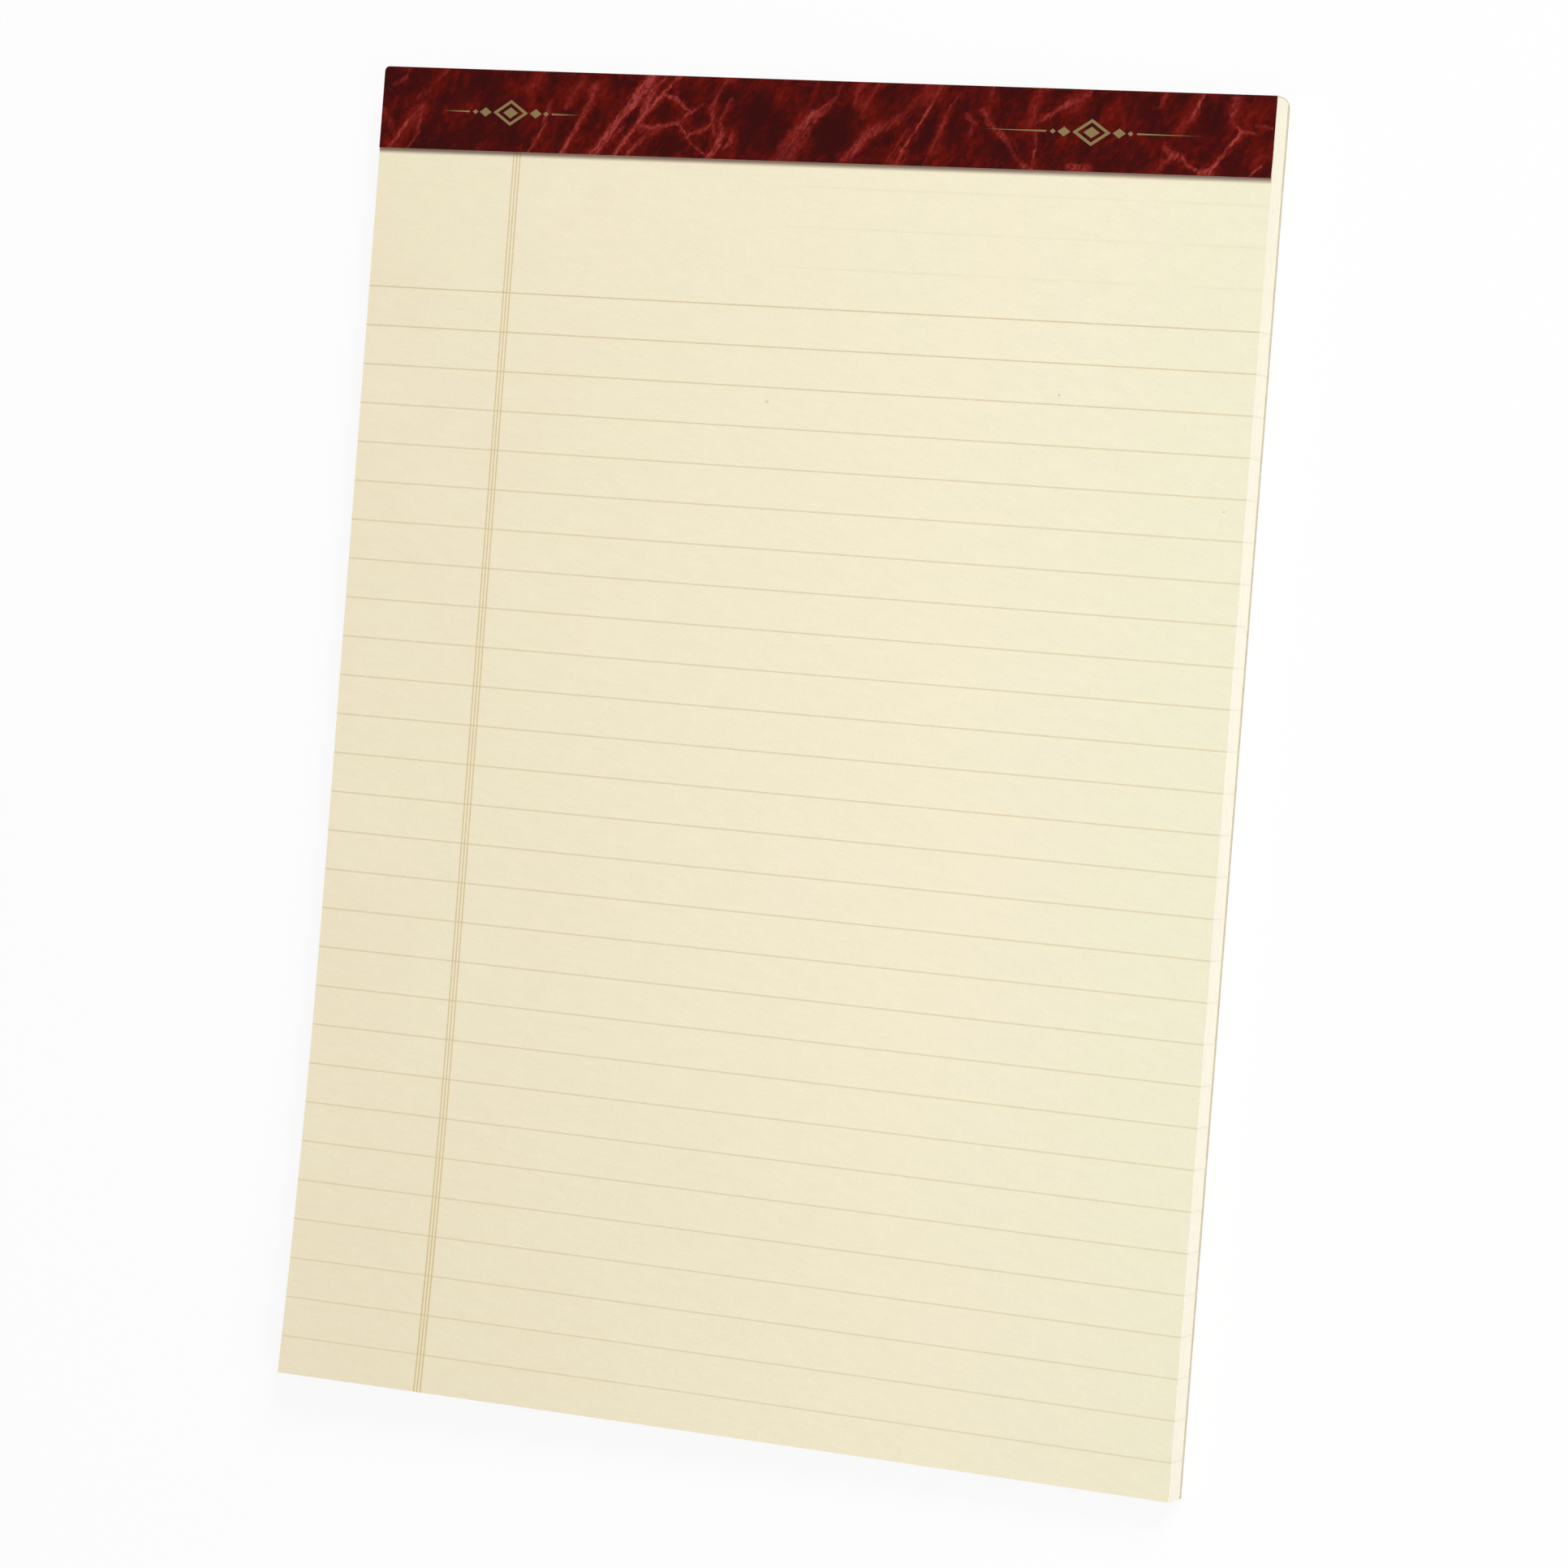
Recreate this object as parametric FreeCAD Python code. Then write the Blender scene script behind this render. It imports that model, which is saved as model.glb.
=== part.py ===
import FreeCAD, Part
import os

# Legal pad lying flat with its ruled side up, in millimetres. X runs across the page, +Y
# points to the bound head, +Z points out of the page. The origin is the middle of the
# underside, and z = 0 is the face that the pad lies on.

# The pad over all
pad_width = 215.9
pad_length = 298.45

# What is stacked, from the underside up
board_thickness = 1.1
block_height = 6.6

# Binding strip: one folded band, glued over the head. Its front edge runs out of square,
# and its back leg is pressed a little way into the board.
strip_thickness = 0.2
strip_dent = 0.05
strip_front_left = 18.6
strip_front_right = 17.5
strip_back = 12.7

# The head is rolled forward towards the back, and its left corner is blunt.
roll_rise = 4.0
roll_setback = 1.4
corner_round = 1.0

# The sheets curl up at the lower left corner, and lie flat beyond the bend line.
curl_height = 4.3
curl_up_the_side = 115.0
curl_along_the_tail = 200.0

# Wire stitches through sheets and board, hidden under the strip
stitch_count = 4
stitch_from_head = 8.0
stitch_crown = 12.5
stitch_clinch = 4.0
wire_thickness = 0.5
wire_width = 0.75
wire_bend = 0.35
stitch_clearance = 0.05

# Places that follow from the sizes
left = -pad_width / 2
right = pad_width / 2
tail = -pad_length / 2
head = pad_length / 2
strip_end = head - strip_back
sheet_head = head - strip_thickness
seat = strip_thickness
board_bottom = seat - strip_dent
board_top = board_bottom + board_thickness
page = board_top + block_height
above = page + block_height + curl_height
rise = min(roll_rise, page - seat - strip_thickness)
roll_radius = (rise**2 + roll_setback**2) / (2 * roll_setback)
roll_height = seat + rise


def point(x, y, z):
    return FreeCAD.Vector(x, y, z)


def line(start, end):
    return Part.LineSegment(start, end).toShape()


def roll_y(z, radius):
    """Place of the rolled head at height z, on the arc of the given radius."""
    drop = roll_height - z
    return sheet_head - roll_radius + (radius**2 - drop**2) ** 0.5


def roll_arc(z_low, radius):
    """Arc from the straight part of the head down to height z_low, in the plane x = left."""
    middle = (roll_height + z_low) / 2
    ends = [point(left, roll_y(z, radius), z) for z in (roll_height, middle, z_low)]
    return Part.Arc(*ends).toShape()


def across(edges):
    """Solid made by drawing a closed side section across the whole width of the pad."""
    face = Part.Face(Part.Wire(edges))
    return face.extrude(point(pad_width, 0, 0))


def outline(y_head, z_low, z_high):
    """Upright block on the page's outline, with its blunt corner at the head, on the left."""
    r = corner_round
    slant = r * (1 - 0.5**0.5)
    a, b = point(left, y_head - r, z_low), point(left + r, y_head, z_low)
    c, d, e = point(right, y_head, z_low), point(right, tail, z_low), point(left, tail, z_low)
    bend = Part.Arc(a, point(left + slant, y_head - slant, z_low), b).toShape()
    edges = [bend, line(b, c), line(c, d), line(d, e), line(e, a)]
    return Part.Face(Part.Wire(edges)).extrude(point(0, 0, z_high - z_low))


def rolled_stack():
    """Room inside the strip: dented where its back leg lies, rolled and straight at the head."""
    foot, dent = point(left, roll_y(seat, roll_radius), seat), point(left, strip_end, seat)
    step, far_foot = point(left, strip_end, board_bottom), point(left, tail, board_bottom)
    shoulder, top = point(left, sheet_head, roll_height), point(left, sheet_head, above)
    far_top = point(left, tail, above)
    return across([roll_arc(seat, roll_radius), line(foot, dent), line(dent, step),
                   line(step, far_foot), line(far_foot, far_top), line(far_top, top),
                   line(top, shoulder)])


def curled_corner():
    """Sheets beyond the bend line. They rise as a parabola, so each stays a bent flat sheet."""
    start = point(left, tail + curl_up_the_side, board_top)
    end = point(left + curl_along_the_tail, tail, board_top)
    along = end - start
    outward = point(-curl_up_the_side, -curl_along_the_tail, 0)
    outward.normalize()
    reach = curl_up_the_side * curl_along_the_tail / along.Length
    up = point(0, 0, 1)
    foot, far_foot = start, start + outward * reach
    hinge, tip = foot + up * block_height, far_foot + up * (block_height + curl_height)
    parabola = Part.BezierCurve()
    parabola.setPoles([hinge, hinge + outward * (reach / 2), tip])
    section = Part.Face(Part.Wire([parabola.toShape(), line(tip, far_foot),
                                   line(far_foot, foot), line(foot, hinge)]))
    return section.extrude(along)


def stitch_path(x_middle, offset, end_shift):
    """Edges of a stitch's outline, offset from the middle of its wire, from clinch to clinch."""
    radius = wire_bend + wire_thickness / 2 + offset
    half = stitch_crown / 2 - wire_thickness / 2 + offset
    tip = stitch_crown / 2 - stitch_clinch - end_shift
    low = seat + wire_thickness / 2 - offset
    high = page - wire_thickness / 2 + offset
    y = sheet_head - stitch_from_head
    lean = radius * (1 - 0.5**0.5)

    def bend(side, z, inward):
        """Quarter bend where a leg at x = side * half meets the crown or a clinch."""
        x = x_middle + side * half
        return Part.Arc(point(x, y, z + inward * radius),
                        point(x - side * lean, y, z + inward * lean),
                        point(x - side * radius, y, z)).toShape()

    edges = []
    for side in (-1, 1):
        x = x_middle + side * half
        edges.append(line(point(x_middle + side * tip, y, low),
                          point(x - side * radius, y, low)))
        edges.append(bend(side, low, 1))
        edges.append(line(point(x, y, low + radius), point(x, y, high - radius)))
        edges.append(bend(side, high, -1))
    edges.append(line(point(x_middle - half + radius, y, high),
                      point(x_middle + half - radius, y, high)))
    return edges


def stitch(x_middle, clearance=0.0):
    """One wire stitch, or the room for it: crown, two legs and two clinches turned inward."""
    reach = wire_thickness / 2 + clearance
    outer = stitch_path(x_middle, reach, clearance)
    inner = stitch_path(x_middle, -reach, clearance)
    y = sheet_head - stitch_from_head
    tip = stitch_crown / 2 - stitch_clinch - clearance
    middle = seat + wire_thickness / 2
    ends = [line(point(x_middle + side * tip, y, middle - reach),
                 point(x_middle + side * tip, y, middle + reach)) for side in (-1, 1)]
    wire = Part.Wire(Part.sortEdges(outer + inner + ends)[0])
    width = wire_width + 2 * clearance
    solid = Part.Face(wire).extrude(point(0, width, 0))
    solid.translate(point(0, -width / 2, 0))
    return solid


def stitch_places():
    """Middles of the stitches, evenly spaced across the head."""
    pitch = pad_width / stitch_count
    return [left + pitch * (number + 0.5) for number in range(stitch_count)]


def stitch_room():
    """Slots, grooves and dents that the stitches make in the sheets and the board."""
    return [stitch(x, stitch_clearance) for x in stitch_places()]


def backing_board():
    """Chipboard back, as wide and long as the sheets."""
    board = outline(sheet_head, board_bottom, board_top).common(rolled_stack())
    return board.cut(stitch_room())


def sheet_block():
    """All the sheets as one block, flat at the head and curled up at the lower left."""
    curl = curled_corner()
    flat = outline(sheet_head, board_top, page).common(rolled_stack()).cut(curl)
    lifted = outline(sheet_head, board_top, above).common(rolled_stack()).common(curl)
    return flat.fuse(lifted).removeSplitter().cut(stitch_room())


def binding_strip():
    """Marbled band: front leg on the page, over the head, round the roll, back leg below."""
    outer = roll_radius + strip_thickness
    top = page + strip_thickness
    front = head - max(strip_front_left, strip_front_right)
    slant = strip_thickness * 0.5**0.5
    fold_start, fold_end = point(left, sheet_head, top), point(left, head, page)
    fold_middle = point(left, sheet_head + slant, page + slant)
    front_low, front_high = point(left, front, page), point(left, front, top)
    back_low, back_high = point(left, strip_end, 0), point(left, strip_end, seat)
    inner_fold = point(left, sheet_head, page)
    outside = [line(front_low, front_high), line(front_high, fold_start),
               Part.Arc(fold_start, fold_middle, fold_end).toShape(),
               line(fold_end, point(left, head, roll_height)), roll_arc(0, outer),
               line(point(left, roll_y(0, outer), 0), back_low), line(back_low, back_high)]
    inner_foot = point(left, roll_y(seat, roll_radius), seat)
    inside = [line(back_high, inner_foot), roll_arc(seat, roll_radius),
              line(point(left, sheet_head, roll_height), inner_fold),
              line(inner_fold, front_low)]
    band = across(outside + inside).common(outline(head, 0, above))

    # The front edge is cut out of square.
    low = point(left, head - strip_front_left, page)
    high = point(right, head - strip_front_right, page)
    waste = [low, high, point(right, tail, page), point(left, tail, page), low]
    waste = Part.Face(Part.makePolygon(waste)).extrude(point(0, 0, 2 * strip_thickness))
    return band.cut(waste)


def build():
    """Every piece under the name of its node."""
    pieces = {
        "backing_board": backing_board(),
        "sheet_block": sheet_block(),
        "binding_strip": binding_strip(),
    }
    for number, x in enumerate(stitch_places(), start=1):
        pieces[f"binding_stitch_{number}"] = stitch(x)
    return pieces


os.makedirs("parts", exist_ok=True)
for name, shape in build().items():
    solid = shape.Solids[0] if len(shape.Solids) == 1 else shape
    solid.exportStep(f"parts/{name}.step")
    box = solid.optimalBoundingBox()
    print(f"{name}: {len(shape.Solids)} solid, valid {solid.isValid()}, {solid.Volume:.1f} mm3, "
          f"x {box.XMin:.2f} to {box.XMax:.2f}, y {box.YMin:.2f} to {box.YMax:.2f}, "
          f"z {box.ZMin:.2f} to {box.ZMax:.2f}")
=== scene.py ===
import math
import random

import bpy
from mathutils import Matrix, Vector


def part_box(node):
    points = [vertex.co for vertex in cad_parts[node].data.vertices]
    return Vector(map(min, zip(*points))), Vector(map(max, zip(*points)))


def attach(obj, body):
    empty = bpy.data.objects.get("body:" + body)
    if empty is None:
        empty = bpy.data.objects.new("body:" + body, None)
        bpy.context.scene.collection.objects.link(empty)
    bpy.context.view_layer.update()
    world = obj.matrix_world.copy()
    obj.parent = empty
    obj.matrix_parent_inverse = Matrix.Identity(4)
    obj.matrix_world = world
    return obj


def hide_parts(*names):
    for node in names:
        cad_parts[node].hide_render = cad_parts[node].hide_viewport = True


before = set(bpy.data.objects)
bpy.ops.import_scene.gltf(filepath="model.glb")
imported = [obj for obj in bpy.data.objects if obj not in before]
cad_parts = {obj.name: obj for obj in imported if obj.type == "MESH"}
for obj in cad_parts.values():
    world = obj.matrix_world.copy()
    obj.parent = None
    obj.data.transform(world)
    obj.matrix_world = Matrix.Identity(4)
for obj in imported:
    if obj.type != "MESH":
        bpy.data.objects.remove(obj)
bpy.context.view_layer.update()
bpy.ops.object.select_all(action="DESELECT")


# Backing board. Chipboard of pulped waste paper, cut together with the sheets, grey-brown
# with pale and dark fibres in it. The solid's own shape is right, so it only gets a finish.
mm = 0.001


class Shade:
    """A socket of a material. Arithmetic on it adds Math nodes, and node() adds any other."""

    def __init__(self, tree, socket=None):
        self.tree = tree
        self.socket = socket

    def node(self, kind, settings=(), inputs=(), output=0):
        """Adds a node of a type, sets it up, feeds its sockets and gives one of its outputs."""
        made = self.tree.nodes.new("ShaderNode" + kind)
        for name, value in dict(settings).items():
            if name == "stops":
                elements = made.color_ramp.elements
                for _ in value[2:]:
                    elements.new(0.5)
                for element, (position, shown) in zip(elements, value):
                    element.position = position
                    element.color = (*shown, 1.0)
            else:
                setattr(made, name, value)
        for name, value in dict(inputs).items():
            if isinstance(value, Shade):
                self.tree.links.new(value.socket, made.inputs[name])
            else:
                made.inputs[name].default_value = value
        return Shade(self.tree, made.outputs[output])

    def output(self, name):
        """Another output of the node that this socket is on."""
        return Shade(self.tree, self.socket.node.outputs[name])

    def math(self, operation, *values):
        return self.node("Math", {"operation": operation}, enumerate((self, *values)))

    def __add__(self, other):
        return self.math("ADD", other)

    def __mul__(self, other):
        return self.math("MULTIPLY", other)

    def __sub__(self, other):
        return self.math("SUBTRACT", other)

    def __truediv__(self, other):
        return self.math("DIVIDE", other)

    def __rsub__(self, other):
        return self.node("Math", {"operation": "SUBTRACT"}, {0: other, 1: self})

    __radd__ = __add__
    __rmul__ = __mul__

    def rise(self, low, high):
        """0 below low, 1 above high, and a smooth step between them."""
        return self.node("MapRange", {"interpolation_type": "SMOOTHSTEP"},
                         {"Value": self, "From Min": low, "From Max": high})

    def mix(self, colour, other):
        """The first colour where this value is 0, the other where it is 1."""
        return self.node("Mix", {"data_type": "RGBA"}, {0: self, 6: colour, 7: other}, 2)

    def within(self, low, high):
        """1 between low and high, and 0 outside them."""
        return self.math("GREATER_THAN", low) * self.math("LESS_THAN", high)

    def axes(self):
        """A place taken apart: how far across, along and up it is."""
        across = self.node("SeparateXYZ", {}, {0: self})
        return across, across.output("Y"), across.output("Z")

    def scaled(self, sizes, shift):
        """A place times a size for each axis, plus a shift or another place."""
        return self.node("VectorMath", {"operation": "MULTIPLY_ADD"},
                         {0: self, 1: sizes, 2: shift})

    def length(self):
        """How far a place is from the origin."""
        return self.node("VectorMath", {"operation": "LENGTH"}, {0: self}, "Value")

    def stretched(self, lengths, turn=0.0, shift=(0.0, 0.0, 0.0)):
        """A place whose pattern is drawn out along each axis, once they are turned about Z."""
        return self.node("Mapping", {"vector_type": "TEXTURE"},
                         {"Vector": self, "Scale": lengths, "Location": shift,
                          "Rotation": (0.0, 0.0, math.radians(turn))})

    def noise(self, scale, detail=2.0, roughness=0.5, distortion=0.0):
        return self.node("TexNoise", {}, {"Vector": self, "Scale": scale, "Detail": detail,
                                          "Roughness": roughness, "Distortion": distortion})


def colour(red, green, blue):
    """A colour in screen levels, as the light that it stands for."""
    return tuple(((c / 255 + 0.055) / 1.055) ** 2.4 for c in (red, green, blue))


def finish(name, roughness, specular):
    """A new material, its shader, and the place on the object in millimetres."""
    material = bpy.data.materials.new(name)
    material.use_nodes = True
    tree = material.node_tree
    shader = tree.nodes["Principled BSDF"]
    shader.inputs["Roughness"].default_value = roughness
    shader.inputs["Specular IOR Level"].default_value = specular
    place = Shade(tree).node("TexCoord", output="Object")
    return material, shader, place.stretched((mm, mm, mm))


def feed(shader, **values):
    """Links values to the shader's sockets that they are named after."""
    for name, value in values.items():
        value.tree.links.new(value.socket, shader.inputs[name.replace("_", " ")])


def bump(shader, height, strength, distance):
    """Makes a surface uneven, by a distance for each 1 of height."""
    made = height.node("Bump", {}, {"Height": height, "Strength": strength,
                                    "Distance": distance})
    height.tree.links.new(made.socket, shader.inputs["Normal"])


def opaque(value):
    """A colour with the fourth number that a colour socket holds."""
    return (*value, 1.0)


board_grey = colour(185, 178, 156)
board_pale = colour(200, 193, 173)
board_dark = colour(138, 128, 107)

chipboard, shader, place = finish("chipboard", 0.92, 0.2)
pulp = place.noise(0.35, 5.0, 0.65)
fibres = place.stretched((5.0, 1.0, 1.0), 25.0).noise(3.6, 4.0, 0.6, 0.8)
more_fibres = place.stretched((1.0, 5.0, 1.0), -20.0).noise(3.2, 4.0, 0.6, 0.8)
flecks = place.noise(1.7, 1.0, 0.4).rise(0.68, 0.75)
tone = pulp.rise(0.25, 0.75).mix(opaque(board_grey), opaque(board_pale))
tone = ((fibres + more_fibres) * 0.5).rise(0.58, 0.72).mix(tone, opaque(board_pale))
tone = (flecks * 0.55).mix(tone, opaque(board_dark))
feed(shader, Base_Color=tone, Roughness=0.96 - pulp * 0.12)
bump(shader, fibres + more_fibres + pulp, 0.35, 0.12 * mm)

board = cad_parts["backing_board"]
board.data.materials.clear()
board.data.materials.append(chipboard)


# Writing sheets. About fifty sheets of cream writing paper, ruled and then cut together by a
# guillotine, glued along the head. The lower left corner has curled up, and the sheets fan
# out there, the upper ones more than the lower ones.
sheet_low, sheet_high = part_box("sheet_block")
left = sheet_low.x
right = sheet_high.x
tail = sheet_low.y
sheet_head = sheet_high.y
board_top = sheet_low.z
page = 7.85 * mm
sheet_count = 50
sheet_gauge = 0.116 * mm
sheet_slip = 0.015 * mm
gap_least = 0.3
gap_most = 1.7
dice = random.Random(11)

# The curl rises from a bend line, which meets the left side and the tail. The lower sheets
# take less of it than their share, as curl_gather says.
curl_height = sheet_high.z - page
curl_up_the_side = 115.0 * mm
curl_along_the_tail = 200.0 * mm
curl_cuts = 18
curl_gather = 1.5

# The head is rolled towards the back, on an arc that starts above the strip's back leg, and
# its left corner is blunt.
corner_round = 1.0 * mm
strip_gauge = 0.2 * mm
roll_rise = 4.0 * mm
roll_setback = 1.4 * mm
roll_height = strip_gauge + roll_rise
roll_radius = (roll_rise**2 + roll_setback**2) / (2 * roll_setback)

# The binding strip's front edge, a little out of square, with a painted shadow below it on the top
# sheet.
head = 149.225 * mm
front_left = 18.6 * mm
front_right = 17.5 * mm
painted_shadow_place = (head - (front_left + front_right) / 2) / mm
painted_shadow_slant = (front_left - front_right) / (right - left)

# Ruling and margin lines, in millimetres on the page.
rule_pitch = 8.887
rule_count = 28
rule_first = 99.165
rule_width = 0.34
ghost_count = 3
margin_count = 3
margin_place = -72.47
margin_gap = 0.795
margin_width = 0.36

# Specks in the paper: place across, place up the page, radius and strength.
specks = [(-5.67, 78.24, 0.35, 0.3), (63.45, 83.44, 0.2, 0.5), (103.08, 60.81, 0.15, 0.6)]

paper_cream = colour(242, 233, 205)
paper_warm = colour(239, 227, 197)
paper_green = colour(240, 233, 203)
paper_pink = colour(243, 231, 206)
paper_right = colour(236, 231, 203)
paper_shaded = colour(230, 219, 189)
rule_ink = colour(210, 190, 149)
margin_ink = colour(209, 187, 134)
ghost_ink = colour(226, 219, 188)
# Brown of the painted shadow below the strip's front edge.
painted_shadow_brown = colour(108, 46, 36)
speck_ink = colour(150, 128, 96)
cut_pale = colour(233, 228, 215)
cut_head_shaded = colour(227, 222, 207)
cut_yellow = colour(237, 230, 210)
cut_shade = colour(206, 195, 164)


def lines(place, pitch, core, rim):
    """1 on the lines of a ruling, whose place counts in pitches, and 0 between them."""
    return 1.0 - (place.math("PINGPONG", 0.5) * pitch).rise(core, rim)


ruled_paper, shader, place = finish("ruled_paper", 0.85, 0.2)
across, along, height = place.axes()
blotches = place.noise(0.022, 4.0, 0.55)
casts = place.stretched((1.0, 1.0, 1.0), 0.0, (60.0, 20.0, 0.0)).noise(0.03, 3.0, 0.5)
fibre = place.noise(2.4, 3.0, 0.75)
felt = place.stretched((3.0, 1.0, 1.0), -12.0).noise(0.7, 3.0, 0.6)
tone = across.rise(-130.0, 60.0).mix(opaque(paper_warm), opaque(paper_cream))
tone = (casts.rise(0.35, 0.7) * 0.35).mix(tone, opaque(paper_green))
tone = (blotches.rise(0.5, 0.75) * 0.5).mix(tone, opaque(paper_pink))
tone = across.rise(30.0, 125.0).mix(tone, opaque(paper_right))
# Painted shade: the page is darker towards the bottom, most at the left.
painted_shade = (1.0 - along.rise(-175.0, -50.0)) * (0.8 - across.rise(-110.0, 80.0) * 0.6)
tone = painted_shade.mix(tone, opaque(paper_shaded))
grain = (fibre - 0.5) * 0.17 + (felt - 0.5) * 0.08
# Painted shade: the page is a little darker towards the head, which evens out the lamps' light
# there.
painted_head_shade = 1.008 - along.rise(20.0, 110.0) * 0.01
tone = tone.node("HueSaturation", {}, {"Color": tone, "Value": painted_head_shade + grain})

# Rules, the faint ones that show through above them, and the margin lines, in worn ink.
ink_wear = place.noise(1.6, 3.0, 0.7).rise(0.25, 0.6) * 0.35 + 0.65
ink_depth = along.rise(-150.0, 0.0) * 0.09 + along.rise(60.0, 105.0) * 0.19 + 0.52
rows = (rule_first - along) / rule_pitch
ruled = lines(rows, rule_pitch, rule_width * 0.3, rule_width * 0.7)
ruled = ruled * rows.within(-0.5, rule_count - 0.5) * ink_wear * ink_depth
tone = ruled.mix(tone, opaque(rule_ink))
ghosts = lines(rows, rule_pitch, 0.1, 0.45) * rows.within(-0.5 - ghost_count, -0.5)
ghosts = ghosts * across.rise(-40.0, 30.0) * casts.rise(0.3, 0.6) * 0.36
tone = ghosts.mix(tone, opaque(ghost_ink))
stripes = (across - margin_place) / margin_gap
margin = lines(stripes, margin_gap, margin_width * 0.3, margin_width * 0.7)
margin = margin * stripes.within(-margin_count / 2, margin_count / 2) * ink_wear
margin = margin * (1.0 - along.rise(-130.0, -80.0) * 0.22)
tone = margin.mix(tone, opaque(margin_ink))
# Painted shadow below the strip's front edge, added to the real shadow of its lifted edge, and
# specks, on the top sheet.
below_strip = across * painted_shadow_slant + painted_shadow_place - along
painted_shadow = below_strip.math("GREATER_THAN", -1.0) * (1.0 - below_strip.rise(0.5, 1.4)) * 0.58
painted_shadow = painted_shadow * height.math("GREATER_THAN", page / mm - 0.05)
tone = painted_shadow.mix(tone, opaque(painted_shadow_brown))
for x, y, radius, strength in specks:
    away = place.scaled((1.0, 1.0, 1.0), (-x, -y, -page / mm)).length()
    spot = (1.0 - away.rise(radius * 0.5, radius * 1.6)) * strength
    tone = spot.mix(tone, opaque(speck_ink))
feed(shader, Base_Color=tone)
bump(shader, fibre + felt, 0.25, 0.06 * mm)

cut_edge, shader, place = finish("cut_edge", 0.9, 0.1)
_, along, height = place.axes()
streaks = place.stretched((50.0, 50.0, 0.2)).noise(1.0, 3.0, 0.7)
nicks = place.stretched((1.2, 1.2, 0.11)).noise(1.0, 2.0, 0.6)
tone = height.rise(1.3, 1.9).mix(opaque(cut_yellow), opaque(cut_pale))
# Painted shade: the sheets' cut edges are darker towards the head.
tone = along.rise(20.0, 160.0).mix(tone, opaque(cut_head_shaded))
rows = (rule_first - along) / rule_pitch
ruled = lines(rows, rule_pitch, 0.1, 0.35) * rows.within(-0.5, rule_count - 0.5)
tone = (ruled * nicks * 0.35).mix(tone, opaque(cut_shade))
tone = (streaks.rise(0.5, 0.8) * 0.4).mix(tone, opaque(cut_shade))
feed(shader, Base_Color=tone)
bump(shader, nicks + streaks, 0.12, 0.05 * mm)


def curl(x, y):
    """How far into the curl a place on the page is: 0 at the bend line, 1 at the corner."""
    return max(0.0, 1.0 - (x - left) / curl_along_the_tail - (y - tail) / curl_up_the_side)


def roll(z):
    """How far up the page the sheets reach at height z, on the rolled head."""
    drop = max(0.0, roll_height - z)
    return sheet_head - roll_radius + (roll_radius**2 - drop**2) ** 0.5


def choose(work, test):
    """Selects the vertices that pass a test, in edit mode."""
    bpy.ops.object.mode_set(mode="OBJECT")
    for vertex in work.data.vertices:
        vertex.select = test(vertex.co)
    for edge in work.data.edges:
        edge.select = all(work.data.vertices[v].select for v in edge.vertices)
    for polygon in work.data.polygons:
        polygon.select = all(work.data.vertices[v].select for v in polygon.vertices)
    bpy.ops.object.mode_set(mode="EDIT")


def flat_blank(name, x_low, x_high, y_low, y_high):
    """A flat rectangle of stock with its place in its mesh, left in edit mode."""
    bpy.ops.mesh.primitive_plane_add(size=1.0, location=(0.0, 0.0, 0.0))
    blank = bpy.context.object
    blank.name = name
    blank.data.name = name
    bpy.ops.object.mode_set(mode="EDIT")
    bpy.ops.mesh.select_all(action="SELECT")
    bpy.ops.transform.resize(value=(x_high - x_low, y_high - y_low, 1.0))
    bpy.ops.transform.translate(value=((x_low + x_high) / 2, (y_low + y_high) / 2, 0.0))
    return blank


def score(place, normal, clear_outer=False):
    """Cuts the mesh in hand along a plane, also close to an edge that is there already."""
    bpy.ops.mesh.select_all(action="SELECT")
    bpy.ops.mesh.bisect(plane_co=place, plane_no=normal, clear_outer=clear_outer,
                        threshold=0.001 * mm)


def thicken(work, gauge, offset):
    """Gives a flat mesh its thickness, on the side that offset says. Its rim, the cut edge,
    gets the second material."""
    bpy.ops.object.mode_set(mode="OBJECT")
    wall = work.modifiers.new("thickness", "SOLIDIFY")
    wall.thickness = gauge
    wall.offset = offset
    wall.use_even_offset = True
    wall.material_offset_rim = 1
    bpy.ops.object.modifier_apply(modifier=wall.name)


pattern_sheet = flat_blank("pattern_sheet", left + sheet_slip, right - sheet_slip,
                           tail + sheet_slip, sheet_head)
mesh = pattern_sheet.data
choose(pattern_sheet, lambda co: co.x < 0 and co.y > 0)
bpy.ops.mesh.bevel(offset=corner_round, segments=5, affect="VERTICES")
bend_normal = Vector((1 / curl_along_the_tail, 1 / curl_up_the_side, 0.0)).normalized()
for cut in range(curl_cuts):
    share = 1.0 - cut / curl_cuts
    score((left + curl_along_the_tail * share, tail, 0.0), bend_normal)
mesh.materials.append(ruled_paper)
mesh.materials.append(cut_edge)
thicken(pattern_sheet, sheet_gauge, 1.0)

# The air between two sheets is never the same, so they fan out unevenly.
sheets = []
pitch = (page - board_top) / sheet_count
gaps = [dice.uniform(gap_least, gap_most) for _ in range(sheet_count)]
for number in range(sheet_count):
    sheet = pattern_sheet.copy()
    sheet.data = mesh.copy()
    bpy.context.collection.objects.link(sheet)
    top = number == sheet_count - 1
    foot = page - sheet_gauge if top else board_top + number * pitch
    lift = curl_height * (sum(gaps[:number + 1]) / sum(gaps)) ** curl_gather
    slip = Vector((dice.uniform(-1, 1), dice.uniform(-1, 1), 0.0)) * sheet_slip
    edge = roll(foot + sheet_gauge / 4) - sheet_slip
    for vertex in sheet.data.vertices:
        co = vertex.co
        raised = foot + lift * curl(co.x, co.y) ** 2
        co.x += slip.x
        co.y = min(co.y + slip.y, edge)
        co.z += raised
    sheets.append(sheet)
bpy.data.objects.remove(pattern_sheet)
bpy.ops.object.select_all(action="DESELECT")
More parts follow.
